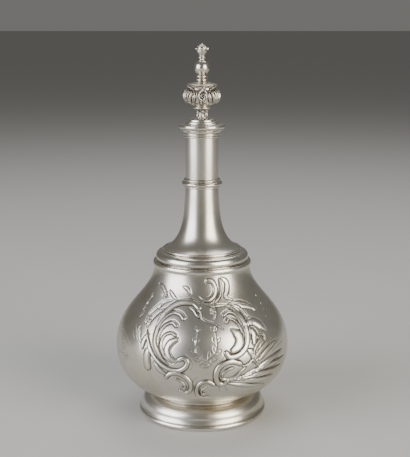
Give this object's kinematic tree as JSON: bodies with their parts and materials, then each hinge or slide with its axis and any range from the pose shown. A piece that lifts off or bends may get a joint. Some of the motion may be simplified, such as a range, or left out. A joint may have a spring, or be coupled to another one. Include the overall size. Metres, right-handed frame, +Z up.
{
  "type": "rosewater sprinkler",
  "caption": "Pear-shaped silver sprinkler bottle on a spreading foot, with a screw-off flared neck, a pierced rose in it and a cork stopper with a tall finial.",
  "frame": {"origin": "centre of the foot's footprint, on the surface the bottle stands on", "axes": "+Z up along the bottle's axis, -Y towards the front, where the chased cartouche is, +X to the viewer's right"},
  "size_m": [0.1128, 0.1128, 0.24],
  "materials": {
    "silver": "gloss",
    "cast_silver": "satin",
    "cork": "matte",
    "leather": "matte"
  },
  "bodies": {
    "vessel": {"foot": "silver", "base_wire": "silver", "joint_wire": "silver", "belly": "silver", "shoulder_wire": "silver", "thread_ring": "silver"},
    "washer": {"seal": "leather"},
    "neck": {"neck_collar": "silver", "neck_base_wire": "silver", "lower_neck": "silver", "neck_ring": "silver", "sprinkler_rose": "silver", "upper_neck": "silver", "mouth_lip": "silver"},
    "cork": {"stopper_cork": "cork"},
    "stopper": {"cork_washer": "cast_silver", "cork_nut": "cast_silver", "stopper_rod": "cast_silver", "cap_plate": "silver", "stopper_cap": "silver", "finial_stem": "cast_silver", "finial_vase": "cast_silver", "vase_cover": "cast_silver", "finial_collar": "cast_silver", "finial_ball": "silver", "finial_spool": "cast_silver", "finial_bud": "cast_silver"}
  },
  "joints": [
    {"name": "neck_rise", "type": "slide", "parent": "vessel", "child": "washer", "axis": [0, 0, 1], "range_m": [0, 0.00441]},
    {"name": "neck_unscrew", "type": "hinge", "parent": "washer", "child": "neck", "pos_m": [0, 0, 0.106], "axis": [0, 0, 1], "range_deg": [0, 720]},
    {"name": "stopper_lift", "type": "slide", "parent": "neck", "child": "cork", "axis": [0, 0, 1], "range_m": [0, 0.04]},
    {"name": "stopper_turn", "type": "hinge", "parent": "cork", "child": "stopper", "pos_m": [0, 0, 0.176], "axis": [0, 0, 1], "continuous": true}
  ],
  "couplings": [
    {"joint": "neck_rise", "follows": "neck_unscrew", "m_per_rad": 0.00035014}
  ]
}
